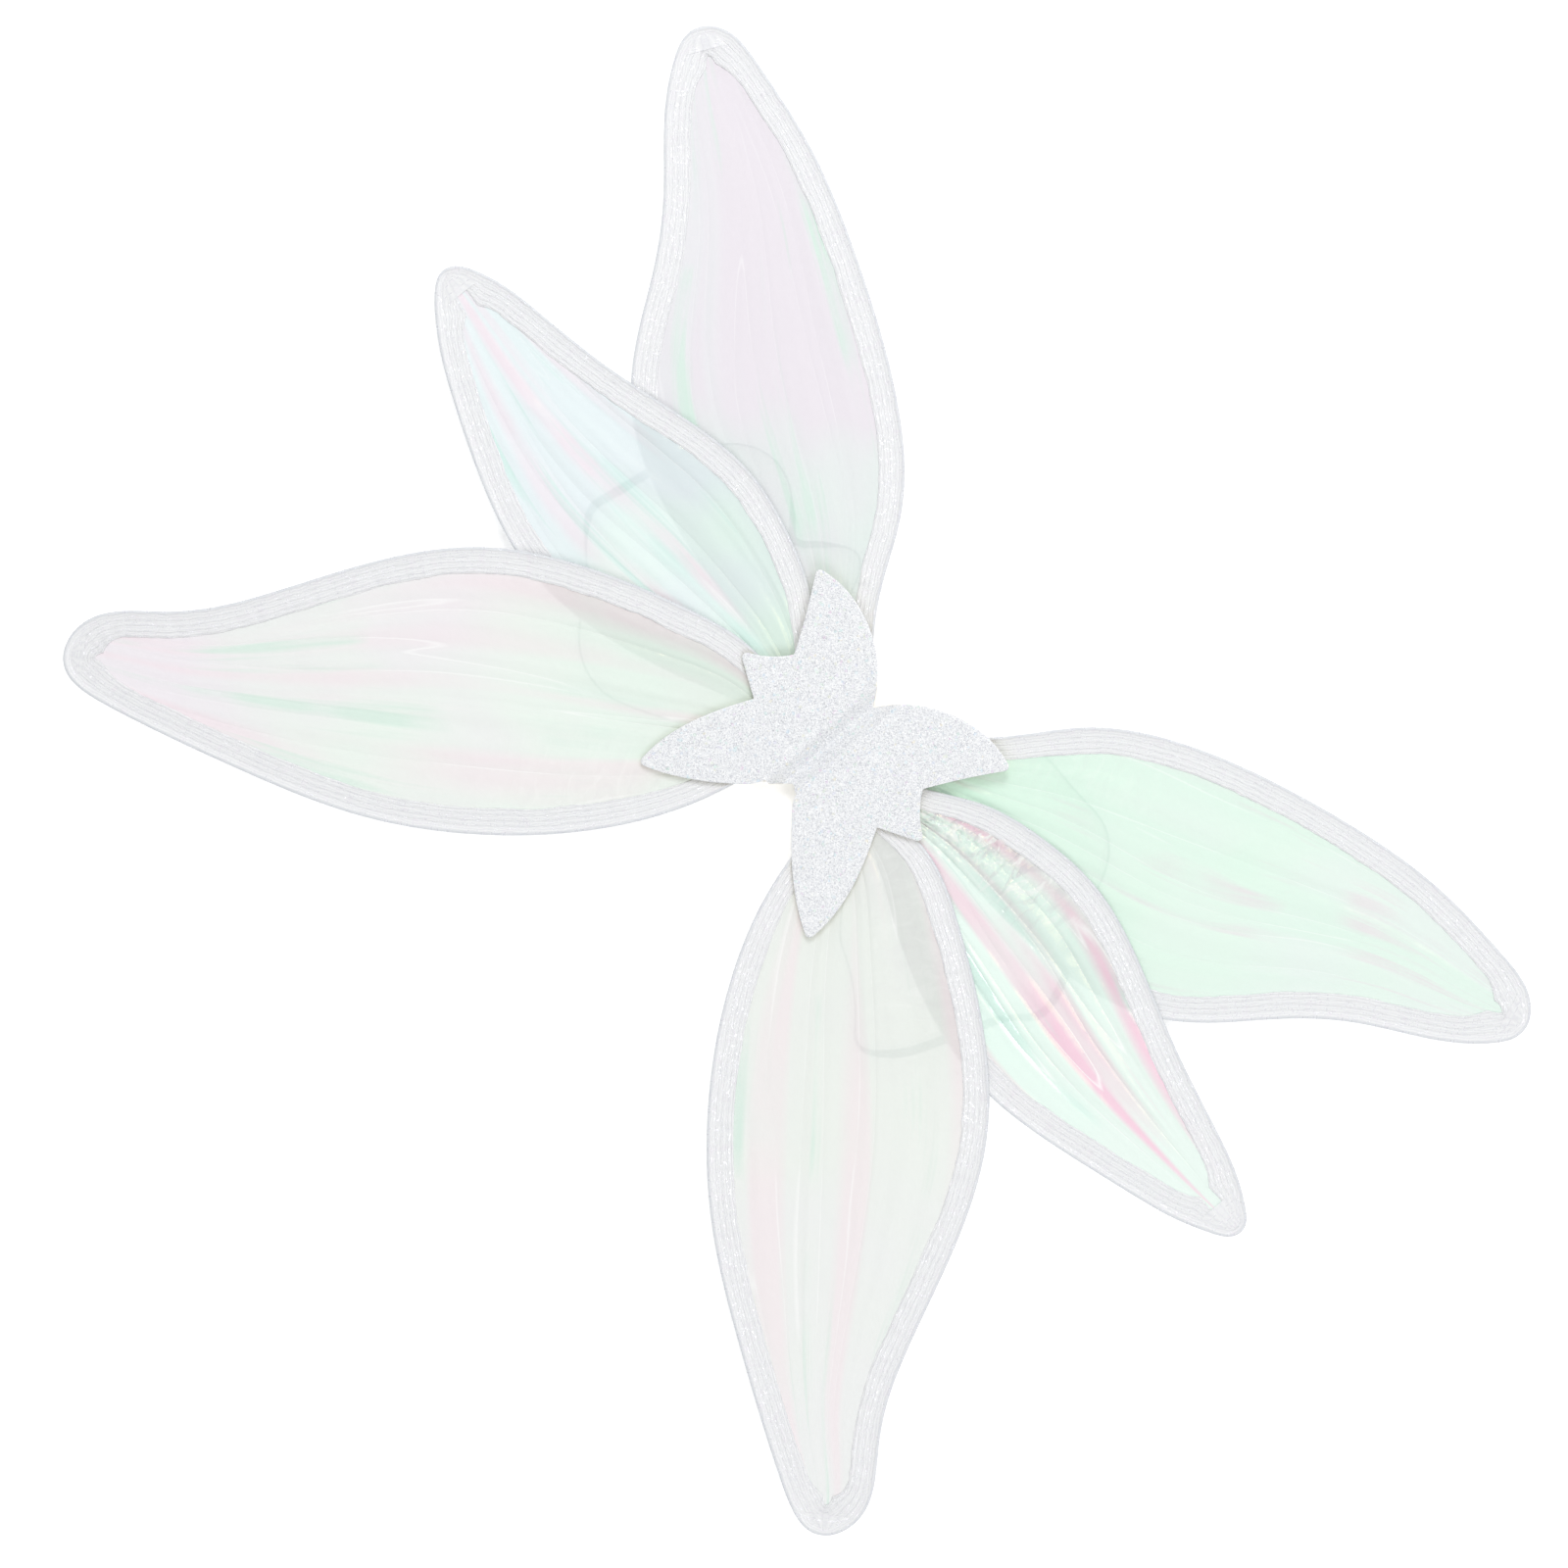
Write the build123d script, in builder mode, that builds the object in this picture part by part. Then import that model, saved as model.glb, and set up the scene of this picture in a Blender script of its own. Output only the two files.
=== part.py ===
"""Fairy wings: six wire-framed film leaves on a folding foam spine, with two elastic shoulder straps.

The wings lie flat, the wearer's side down. +X runs to the right-hand leaves, +Y up the spine, +Z out
of the glitter side. The origin is the middle of the back pad's underside, on the spine. Millimetres.
"""

import os
from math import atan2, cos, hypot, radians, sin, sqrt, tan

from build123d import *

# Driving dimensions.
wire_size = 1.6
sleeve_out = 1.2  # the ribbon reaches this far outside the wire's centre line
sleeve_in = 2.0
sleeve_height = 2.4
hem_width = 14.0
hem_height = 0.8
film_height = 0.2
film_tuck = 3.0  # the film's edge inside the wire's centre line
channel_size = 1.7  # the ribbon's tunnel for the wire
slot_tuck = 2.5
slot_height = 0.3
root_clear = 3.0  # the ribbon is cut away this far each side of the wire at a leaf's root

pad_height = 5.0
pad_scale = 0.93  # the pad is the foam's shape, a little smaller, so that it hides behind it
foam_height = 2.0
foam_low = 13.9
foam_turn = 3.0  # degrees, the foam sits a little askew
foam_shift = 2.0
spine_half = 9.5
hinge_gap = 1.0
valley_half = 13.0  # the front foam's crests start here, each side of the valley

leaf_shift = 8.0
root_x = 24.0
ferrule_length = 6.0
ferrule_size = 2.4

strap_width = 6.0
strap_thick = 1.2
tail_rise = 5.0
tail_height = 1.2

glue_radius = 3.0

# One half of the foam's edge, stretch by stretch from the top notch to the bottom notch.
foam_stretches = [
    [(0, 33.5), (15, 52), (38, 66), (66, 71.5), (86, 68)],
    [(86, 68), (72, 47), (57, 21)],
    [(57, 21), (67, 9), (82, -1)],
    [(82, -1), (69, -8), (54.5, -15.5)],
    [(54.5, -15.5), (67, -42), (74.5, -68), (75, -94)],
    [(75, -94), (48, -79), (22, -57), (0, -33.5)],
]
foam_tip_radius = 3.0

# Each leaf: the middle height of its sheet, the root's low and high ends, the wire's path from the
# high end round the tip to the low end, and for each side the bend of its tip in degrees and how
# full it is across.
leaves = {
    "upper": dict(
        height=7.6,
        root=(18, 33),
        path=[
            (50, 71), (88, 125), (146, 170), (220, 203), (300, 226), (358, 231), (389, 226), (399, 212),
            (393, 195), (366, 165), (330, 136), (298, 101), (272, 66), (236, 34), (168, 14), (96, 9),
            (46, 9), (28, 12),
        ],
        bend={"left": 1.35, "right": -1.0},
        full={"left": 0.96, "right": 1.0},
    ),
    "middle": dict(
        height=10.1,
        root=(-8, 5),
        path=[
            (30, 12), (50, 24), (80, 45), (122, 61), (165, 67), (215, 58), (270, 41), (330, 27),
            (368, 14), (383, 0), (369, -16), (322, -39), (270, -57), (212, -69), (150, -61), (95, -40),
            (55, -21), (31, -13),
        ],
        bend={"left": 1.6, "right": -0.9},
        full={"left": 1.06, "right": 0.92},
    ),
    "lower": dict(
        height=12.6,
        root=(-36, -19),
        path=[
            (31, -10), (52, -2), (84, 0), (125, -13), (185, -43), (238, -85), (276, -145), (300, -200),
            (333, -257), (361, -304), (353, -323), (310, -319), (240, -288), (165, -248), (105, -197),
            (61, -140), (35, -84), (26, -50),
        ],
        bend={"left": 0.2, "right": 0.4},
        full={"left": 1.0, "right": 0.95},
    ),
}
arc_step = 20.0  # each stretch of the wire this long is two tangent arcs

# Each strap's route, from where it leaves the pad beside the top of the foam to where it goes back
# in beside the lower lobe.
strap_routes = {
    "right": [
        (60, 72), (72, 89), (92, 95), (120, 94), (148, 96), (167, 82), (177, 58), (190, 34), (206, 9),
        (212, -12), (199, -26), (190, -46), (181, -72), (172, -94), (152, -113), (134, -95), (112, -81),
        (91, -74), (77, -56),
    ],
    "left": [
        (-61, 67), (-68, 84), (-80, 90), (-95, 77), (-108, 61), (-121, 73), (-138, 86), (-160, 88),
        (-180, 75), (-193, 50), (-199, 24), (-203, 0), (-207, -18), (-193, -33), (-177, -45),
        (-163, -62), (-146, -80), (-122, -88), (-97, -80), (-70, -62),
    ],
}
corner_share = 0.45
tail_ends = {
    "right": [((62, 75), (50, 56)), ((79, -58), (64, -47))],
    "left": [((-62, 70), (-50, 52)), ((-73, -64), (-56, -52))],
}

glue_spots = {"upper": (50, 44), "middle": (46, 3), "lower": (42, -40)}

hand = {"left": -1, "right": 1}


def placed(point, leaf, side):
    """A leaf's point on its own side: made fuller across the leaf, bent towards the tip, shifted."""
    low, high = leaf["root"]
    middle = (low + high) / 2
    tip = max(leaf["path"], key=lambda p: hypot(p[0] - root_x, p[1] - middle))
    reach = hypot(tip[0] - root_x, tip[1] - middle)
    along = atan2(tip[1] - middle, tip[0] - root_x)
    dx = point[0] - root_x
    dy = point[1] - middle
    length = dx * cos(along) + dy * sin(along)
    across = dy * cos(along) - dx * sin(along)
    share = min(hypot(dx, dy) / reach, 1)
    across = across * (1 + (leaf["full"][side] - 1) * share)
    turn = along + radians(leaf["bend"][side]) * share**2
    x = root_x + length * cos(turn) - across * sin(turn)
    y = middle + length * sin(turn) + across * cos(turn)
    return (hand[side] * x + leaf_shift, y)


def arc_joint(start, start_way, end, end_way):
    """Where two arcs meet that together leave start along start_way and reach end along end_way,
    and the way that they run there."""
    chord = end - start
    ways = start_way + end_way
    spread = 2 * (1 - start_way.dot(end_way))
    forward = chord.dot(ways)
    if spread < 1e-9:
        reach = chord.dot(chord) / (2 * forward)
    else:
        reach = (sqrt(forward**2 + spread * chord.dot(chord)) - forward) / spread
    before = start + start_way * reach
    after = end - end_way * reach
    return (before + after) / 2, (after - before).normalized()


def wire_face(leaf, side):
    """The face inside the closed centre line of a leaf's wire, a chain of tangent arcs."""
    low, high = leaf["root"]
    root = [(root_x, low), (root_x, (low + high) / 2), (root_x, high)]
    with BuildLine() as guide:
        Spline(*[placed(point, leaf, side) for point in root + leaf["path"]], periodic=True)
    line = guide.edge()
    count = round(line.length / arc_step)
    places = [line.position_at(i / count) for i in range(count)]
    ways = [line.tangent_at(i / count) for i in range(count)]
    with BuildSketch() as face:
        with BuildLine():
            for i in range(count):
                k = (i + 1) % count
                joint, way = arc_joint(places[i], ways[i], places[k], ways[k])
                TangentArc(places[i], joint, tangent=ways[i])
                TangentArc(joint, places[k], tangent=way)
        make_face()
    return face.sketch


def leaf_outline(leaf, side, amount):
    """The face inside the line that runs beside the wire, amount outside it or, if negative, inside."""
    with BuildSketch() as outline:
        add(wire_face(leaf, side))
        offset(amount=amount)
    return outline.sketch


def band(leaf, side, out, inward, height):
    """A closed ring along the wire's line, from out beyond it to inward inside it."""
    with BuildPart() as ring:
        with BuildSketch(Plane.XY.offset(leaf["height"] - height / 2)):
            add(leaf_outline(leaf, side, out))
            add(leaf_outline(leaf, side, -inward), mode=Mode.SUBTRACT)
        extrude(amount=height)
    return ring.part


def plate(leaf, side, inward, height):
    """A sheet that fills the leaf up to inward inside the wire's line."""
    with BuildPart() as sheet:
        with BuildSketch(Plane.XY.offset(leaf["height"] - height / 2)):
            add(leaf_outline(leaf, side, -inward))
        extrude(amount=height)
    return sheet.part


def leaf_frame(leaf, side):
    """The wire loop. Two crossed bands give it a section that is nearly round."""
    with BuildPart() as wire:
        add(band(leaf, side, wire_size / 2, wire_size / 2, wire_size / 2))
        add(band(leaf, side, wire_size / 4, wire_size / 4, wire_size))
    return wire.part


def leaf_binding(leaf, side):
    """The folded ribbon: a sleeve round the wire and two flaps over the film's edge, open at the root."""
    low, high = leaf["root"]
    root = placed((root_x, (low + high) / 2), leaf, side)
    with BuildPart() as ribbon:
        add(band(leaf, side, sleeve_out, sleeve_in, sleeve_height))
        add(band(leaf, side, sleeve_out, hem_width, hem_height))
        add(band(leaf, side, channel_size / 2, channel_size / 2, channel_size), mode=Mode.SUBTRACT)
        add(plate(leaf, side, slot_tuck, slot_height), mode=Mode.SUBTRACT)
        with Locations((root[0], root[1], leaf["height"])):
            Box(2 * root_clear, high - low, 2 * sleeve_height, mode=Mode.SUBTRACT)
    return ribbon.part


def leaf_ferrules(side):
    """The crimped tubes over the wires' ends, one on each leaf's root. Each follows its wire."""
    with BuildPart() as tubes:
        for leaf in leaves.values():
            low, high = leaf["root"]
            root = placed((root_x, (low + high) / 2), leaf, side)
            with BuildPart(mode=Mode.PRIVATE) as tube:
                add(band(leaf, side, ferrule_size / 2, ferrule_size / 2, ferrule_size))
                add(band(leaf, side, channel_size / 2, channel_size / 2, channel_size), mode=Mode.SUBTRACT)
                with Locations((root[0], root[1], leaf["height"])):
                    Box(2 * root_clear, ferrule_length, 2 * ferrule_size, mode=Mode.INTERSECT)
            add(tube.part)
    return tubes.part


def foam_outline(size, near, far):
    """The butterfly shape, scaled to size, between x = near and x = far."""
    with BuildSketch() as butterfly:
        with BuildLine():
            for stretch in foam_stretches:
                Spline(*stretch)
            for stretch in foam_stretches:
                Spline(*[(-x, y) for x, y in stretch])
        make_face()
        tips = [v for v in butterfly.vertices() if abs(v.X) > 74]
        fillet(tips, foam_tip_radius)
        scale(by=size)
    with BuildSketch() as cut:
        add(butterfly.sketch.rotate(Axis.Z, foam_turn).moved(Location((foam_shift, 0, 0))))
        with Locations(((near + far) / 2, 0)):
            Rectangle(far - near, 300, mode=Mode.INTERSECT)
    return cut.sketch


def foam_plate(size, near, far, low, height):
    """A flat piece of foam cut from the butterfly shape."""
    with BuildPart() as piece:
        with BuildSketch(Plane.XY.offset(low)):
            add(foam_outline(size, near, far))
        extrude(amount=height)
    return piece.part


def strap_band(side):
    """The elastic: on its edge outside the pad, with a flat tail over the pad at each end."""
    route = strap_routes[side]
    radii = []
    for before, point, after in zip(route, route[1:], route[2:]):
        first = Vector(*point) - Vector(*before)
        second = Vector(*after) - Vector(*point)
        half_turn = radians(first.get_angle(second)) / 2
        radii.append(corner_share * min(first.length, second.length) / tan(half_turn))
    print(side, "strap radii", [round(r) for r in radii])
    with BuildPart() as elastic:
        with BuildSketch():
            with BuildLine() as middle_line:
                FilletPolyline(*route, radius=radii)
            length = sum(edge.length for edge in middle_line.edges())
            trace(line_width=strap_thick)
        extrude(amount=strap_width)
        print(side, "strap length", round(length, 1), "volume", round(elastic.part.volume))
        print(side, "section times length", round(length * strap_thick * strap_width))
        with BuildSketch(Plane.XY.offset(tail_rise)):
            for start, end in tail_ends[side]:
                with BuildLine():
                    Line(start, end)
                trace(line_width=strap_width)
        extrude(amount=tail_height)
    return elastic.part


def glue_beads(side):
    """Hot-melt beads from the pad to each leaf's root, and from the leaf to the front foam."""
    with BuildPart() as beads:
        for name, (x, y) in glue_spots.items():
            leaf = leaves[name]
            under = leaf["height"] - hem_height / 2
            over = leaf["height"] + hem_height / 2
            for low, high in ((pad_height, under), (over, foam_low)):
                with Locations((hand[side] * x + leaf_shift, y, low)):
                    Cylinder(glue_radius, high - low, align=(Align.CENTER, Align.CENTER, Align.MIN))
    return beads.part


def keep(piece, name):
    piece.label = name
    export_step(piece, "parts/" + name + ".step")


os.makedirs("parts", exist_ok=True)

reach = 150
keep(foam_plate(pad_scale, -spine_half, spine_half, 0, pad_height), "back_pad_spine")
keep(foam_plate(1, -spine_half, spine_half, pad_height, foam_height), "front_foam_spine")
for side in hand:
    for name, leaf in leaves.items():
        keep(leaf_frame(leaf, side), side + "_" + name + "_frame")
        keep(leaf_binding(leaf, side), side + "_" + name + "_binding")
        keep(plate(leaf, side, film_tuck, film_height), side + "_" + name + "_film")
    keep(leaf_ferrules(side), side + "_ferrules")
    keep(glue_beads(side), side + "_glue_beads")
    keep(strap_band(side), side + "_strap")
    pad_ends = sorted((hand[side] * (spine_half + hinge_gap), hand[side] * reach))
    keep(foam_plate(pad_scale, *pad_ends, 0, pad_height), side + "_back_pad")
    foam_ends = sorted((hand[side] * valley_half, hand[side] * reach))
    keep(foam_plate(1, *foam_ends, foam_low, foam_height), side + "_front_foam")
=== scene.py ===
"""Fairy wings: crinkled iridescent film leaves with glitter ribbon hems round a folded foam spine."""

from math import cos, pi, radians, sin

import bmesh
import bpy
import numpy as np
from mathutils import Matrix, Vector, noise
from mathutils.geometry import delaunay_2d_cdt


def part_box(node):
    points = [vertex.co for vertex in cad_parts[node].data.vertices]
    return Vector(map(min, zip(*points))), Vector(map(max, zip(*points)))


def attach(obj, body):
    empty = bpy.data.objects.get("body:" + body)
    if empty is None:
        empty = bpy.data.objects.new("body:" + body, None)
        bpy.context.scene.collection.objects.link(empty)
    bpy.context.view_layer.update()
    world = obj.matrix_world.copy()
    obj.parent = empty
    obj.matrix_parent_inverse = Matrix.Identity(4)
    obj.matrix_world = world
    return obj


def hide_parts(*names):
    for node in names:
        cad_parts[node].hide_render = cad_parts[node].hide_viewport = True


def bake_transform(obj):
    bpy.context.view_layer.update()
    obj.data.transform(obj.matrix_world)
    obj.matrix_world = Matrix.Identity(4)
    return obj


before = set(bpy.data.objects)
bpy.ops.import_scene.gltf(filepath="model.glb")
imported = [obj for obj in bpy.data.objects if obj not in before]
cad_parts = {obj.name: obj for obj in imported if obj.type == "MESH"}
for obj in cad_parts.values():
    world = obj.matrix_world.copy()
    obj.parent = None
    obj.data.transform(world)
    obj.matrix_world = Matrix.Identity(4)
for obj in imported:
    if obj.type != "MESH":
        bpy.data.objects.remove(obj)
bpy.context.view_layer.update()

MM = 0.001
SIDES = {"left": -1, "right": 1}
TIERS = ("upper", "middle", "lower")

# The film's edge lies this far inside the wire's centre line.
FILM_TUCK = 3.0 * MM
WIRE_RADIUS = 0.8 * MM
WIRE_SIDES = 8
LOOP_STEP = 1.6 * MM
LOOP_SMOOTH = 3.0 * MM
# Points this close to a leaf's nearest one to the spine are its root.
ROOT_BAND = 0.6 * MM

# The ribbon's tunnel over the wire, its section round the wire's centre in shares of its radius, and
# its puckers.
SLEEVE_RADIUS = 1.15 * MM
SLEEVE_SECTION = [
    (-0.85, -0.72), (-0.45, -1.02), (0.0, -1.0), (0.45, -0.9), (0.85, -0.55), (1.0, 0.0), (0.85, 0.55),
    (0.45, 0.9), (0.0, 1.0), (-0.45, 1.02), (-0.85, 0.72),
]
PUCKER_HEIGHT = 0.42 * MM
# The ribbon's two flaps: width, how much wider they are round the tip, the columns across them in
# shares of the width, half their thickness, the same at their thin edge, and the gap at the root.
HEM_WIDTH = 15.0 * MM
TIP_EXTRA = 7.0 * MM
FLAP_SHARES = (0.28, 0.4, 0.52, 0.64, 0.76, 0.88, 0.97, 1.0)
HEM_SKIN = 0.3 * MM
HEM_LIP = 0.16 * MM
ROOT_GAP = 7.0 * MM
# The folded corner at the tip: its distance from the wire, how far its two sides' flaps must overlap
# before it ends, and how far it stands up.
PATCH_INSET = 2.5 * MM
PATCH_OVERLAP = 2.0 * MM
PATCH_RISE = 0.3 * MM
PATCH_COLUMNS = 12
# The yarns stitched along the ribbon, and where they lie in shares of its width.
THREAD_SHARES = (0.3, 0.52, 0.76, 0.93)
THREAD_RADIUS = 0.24 * MM
THREAD_SIDES = 5
THREAD_WANDER = 0.5 * MM
THREAD_BEAD = 0.05 * MM

# The film's grid, the share of the leaf's length that it leaves free at each end, and its folds.
FILM_ROWS, FILM_COLUMNS = 250, 100
FILM_EDGE_POINTS = 400
FILM_END = 0.015
FOLD_HEIGHT = 0.85 * MM
FOLD_LEVEL = 0.35
FILM_LOWEST, FILM_HIGHEST = -1.05 * MM, 1.15 * MM
GATHER_WAVE = 1.5
GATHER_HEIGHT = 1.5

# The foam's edge rounding, the step along its edge and the spacing of the points inside it.
PAD_ROUND = 0.7 * MM
PAD_STEP = 1.5 * MM
PAD_SPACING = 3.0 * MM
FOAM_ROUND = 0.45 * MM
FOAM_STEP = 1.3 * MM
FOAM_SPACING = 1.5 * MM
FOAM_FLAKES = 2600
# Faces of the front foam that look up less than this have no glitter.
BARE_BELOW = 0.35
# The valley along the spine: the foam rises from one distance off the spine to the other. The first
# is below zero, so that the valley has no flat floor.
VALLEY_FLAT = -3.0 * MM
CREST = 12.0 * MM
# Half the width of the spine's strip of foam, and of the stretch of its edge that is read.
SPINE_HALF = 9.0 * MM
SPINE_READ = 9.3 * MM

STRAP_WIDTH = 6.0 * MM
STRAP_THICK = 1.1 * MM
STRAP_STEP = 1.5 * MM
# The strap's section in halves of its width and of its thickness.
STRAP_SECTION = [
    (-1, -0.45), (-0.94, -0.9), (-0.8, -1), (-0.3, -0.92), (0.3, -0.92), (0.8, -1), (0.94, -0.9),
    (1, -0.45), (1, 0.45), (0.94, 0.9), (0.8, 1), (0.3, 0.92), (-0.3, 0.92), (-0.8, 1),
    (-0.94, 0.9), (-1, 0.45),
]


# ---------------------------------------------------------------- outlines


def node_outline(name):
    """The edge of a flat node's top face, as an ordered loop of (x, y), anticlockwise."""
    mesh = bmesh.new()
    mesh.from_mesh(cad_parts[name].data)
    bmesh.ops.remove_doubles(mesh, verts=mesh.verts, dist=2e-6)
    mesh.normal_update()
    onward = {}
    for edge in mesh.edges:
        tops = [f for f in edge.link_faces if f.normal.z > 0.9]
        walls = [f for f in edge.link_faces if abs(f.normal.z) < 0.5]
        if tops and walls:
            a, b = edge.verts
            onward.setdefault(a, []).append(b)
            onward.setdefault(b, []).append(a)
    loops = []
    left = set(onward)
    while left:
        # A set has no fixed order, so the start is chosen by its place.
        here = min(left, key=lambda v: tuple(v.co))
        left.discard(here)
        loop = [here]
        while True:
            ahead = [v for v in onward[here] if v in left]
            if not ahead:
                break
            here = ahead[0]
            left.discard(here)
            loop.append(here)
        loops.append(np.array([[v.co.x, v.co.y] for v in loop]))
    mesh.free()
    longest = max(loops, key=loop_length)
    return longest if signed_area(longest) > 0 else longest[::-1]


def loop_length(points):
    return float(np.linalg.norm(np.roll(points, -1, 0) - points, axis=1).sum())


def signed_area(points):
    x, y = points.T
    return 0.5 * float((x * np.roll(y, -1) - np.roll(x, -1) * y).sum())


def resampled(points, count, closed=True):
    """count points evenly spaced along a line."""
    line = np.vstack([points, points[:1]]) if closed else np.asarray(points)
    along = np.concatenate([[0], np.cumsum(np.linalg.norm(np.diff(line, axis=0), axis=1))])
    wanted = np.linspace(0, along[-1], count + 1)[:-1] if closed else np.linspace(0, along[-1], count)
    return np.column_stack([np.interp(wanted, along, line[:, k]) for k in range(line.shape[1])])


def smoothed(points, reach):
    """A closed loop, softened over reach."""
    step = loop_length(points) / len(points)
    half = max(1, int(3 * reach / step))
    weights = np.exp(-0.5 * (np.arange(-half, half + 1) * step / reach) ** 2)
    weights /= weights.sum()
    out = np.zeros_like(points)
    for shift, weight in zip(range(-half, half + 1), weights):
        out += weight * np.roll(points, -shift, 0)
    return out


def outward(points):
    """The outward normals of an anticlockwise loop."""
    along = np.roll(points, -1, 0) - np.roll(points, 1, 0)
    along /= np.maximum(np.linalg.norm(along, axis=1, keepdims=True), 1e-12)
    return np.column_stack([along[:, 1], -along[:, 0]])


def ease(value, low, high):
    """0 below low, 1 above high, smooth between."""
    t = np.clip((value - low) / (high - low), 0, 1)
    return t * t * (3 - 2 * t)


# ---------------------------------------------------------------- meshes


def new_object(name, verts, faces, material, uv=None):
    """A smooth-shaded mesh object. uv holds one (u, v) for each vertex."""
    mesh = bpy.data.meshes.new(name)
    mesh.from_pydata([tuple(v) for v in verts], [], [tuple(f) for f in faces])
    mesh.validate()
    if uv is not None:
        layer = mesh.uv_layers.new(name="Lay")
        corners = np.zeros(len(mesh.loops), dtype=np.int32)
        mesh.loops.foreach_get("vertex_index", corners)
        layer.data.foreach_set("uv", np.asarray(uv, dtype=np.float32)[corners].ravel())
    mesh.materials.append(material)
    mesh.polygons.foreach_set("use_smooth", [True] * len(mesh.polygons))
    mesh.update()
    obj = bpy.data.objects.new(name, mesh)
    bpy.context.scene.collection.objects.link(obj)
    return obj


def grid_faces(rows, columns, wrap_rows=False, wrap_columns=False):
    """Quads over a rows by columns block of vertices."""
    faces = []
    for r in range(rows if wrap_rows else rows - 1):
        for c in range(columns if wrap_columns else columns - 1):
            r2, c2 = (r + 1) % rows, (c + 1) % columns
            faces.append((r * columns + c, r2 * columns + c, r2 * columns + c2, r * columns + c2))
    return faces


def joined(name, parts, material, uv=False):
    """One object from several (verts, faces, uv) blocks."""
    verts, faces, lays = [], [], []
    for block in parts:
        base = len(verts)
        verts.extend(block[0])
        faces.extend(tuple(i + base for i in face) for face in block[1])
        if uv:
            lays.extend(block[2])
    return new_object(name, verts, faces, material, uv=lays if uv else None)


def end_caps(count, total):
    """The two end faces of a tube of total vertices with count of them round its section."""
    return [tuple(range(count)), tuple(range(total - 1, total - count - 1, -1))]


def flake(centre, size, tilt, turn=0.0):
    """The six corners of a flat flake of glitter that faces along tilt."""
    side = tilt.orthogonal().normalized()
    side.rotate(Matrix.Rotation(turn, 3, tilt))
    other = tilt.cross(side)
    angles = [pi * k / 3 for k in range(6)]
    return [tuple(centre + size * (cos(angle) * side + sin(angle) * other)) for angle in angles]


def inside(points, loop):
    """Which points lie inside a loop."""
    x, y = points[:, 0], points[:, 1]
    hit = np.zeros(len(points), bool)
    ax, ay = loop.T
    bx, by = np.roll(loop, -1, 0).T
    for k in range(len(loop)):
        if ay[k] == by[k]:
            continue
        crosses = (ay[k] > y) != (by[k] > y)
        hit ^= crosses & (x < (bx[k] - ax[k]) * (y - ay[k]) / (by[k] - ay[k]) + ax[k])
    return hit


def distance_to(points, loop):
    """Each point's distance to the nearest of the loop's points, and which one that is."""
    best = np.full(len(points), np.inf)
    index = np.zeros(len(points), int)
    for start in range(0, len(points), 2000):
        block = points[start : start + 2000]
        gap = np.linalg.norm(block[:, None, :] - loop[None, :, :], axis=2)
        index[start : start + 2000] = gap.argmin(1)
        best[start : start + 2000] = gap.min(1)
    return best, index


def foam_block(loop, top, bottom, rounding, spacing, cut_x=None):
    """A slab with the loop as its edge: rounded edges, and top and bottom heights as functions of x, y.
    Points at x = cut_x are a cut, and keep a square edge."""
    normals = outward(loop)
    held = np.zeros(len(loop), bool) if cut_x is None else np.abs(loop[:, 0] - cut_x) < 1e-5
    inset = np.where(held, 0, rounding)[:, None]

    def ring(share, height, drop):
        flat = loop - normals * inset * share
        z = height(flat[:, 0], flat[:, 1]) + drop * np.where(held, 0, rounding)
        return np.column_stack([flat, z])

    # Round the edge from the top's rim to the underside's: share of the inset, side, and drop.
    rings = [
        ring(1.0, top, 0),
        ring(0.3, top, -0.3),
        ring(0.0, top, -1.0),
        ring(0.0, bottom, 1.0),
        ring(0.3, bottom, 0.3),
        ring(1.0, bottom, 0),
    ]
    count = len(loop)
    verts = [tuple(v) for r in rings for v in r]
    faces = grid_faces(len(rings), count, wrap_columns=True)
    edge = rings[0][:, :2]
    low, high = edge.min(0), edge.max(0)
    xs = np.arange(low[0] + spacing, high[0], spacing)
    ys = np.arange(low[1] + spacing, high[1], spacing)
    grid = np.array([(x + (j % 2) * spacing / 2, y) for j, y in enumerate(ys) for x in xs])
    grid = grid[inside(grid, edge)]
    grid = grid[distance_to(grid, edge)[0] > 0.6 * spacing]
    flat = [Vector(p) for p in np.vstack([edge, grid])]
    points, _, triangles, origins, _, _ = delaunay_2d_cdt(flat, [], [list(range(count))], 1, 1e-7)
    last = (len(rings) - 1) * count
    upper, lower = {}, {}
    for i, point in enumerate(points):
        first = origins[i][0] if origins[i] else None
        if first is not None and first < count:
            upper[i], lower[i] = first, last + first
        else:
            x, y = np.array([point[0]]), np.array([point[1]])
            upper[i] = len(verts)
            verts.append((point[0], point[1], float(top(x, y)[0])))
            lower[i] = len(verts)
            verts.append((point[0], point[1], float(bottom(x, y)[0])))
    for a, b, c in triangles:
        faces.append((upper[a], upper[b], upper[c]))
        faces.append((lower[c], lower[b], lower[a]))
    return verts, faces


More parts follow.
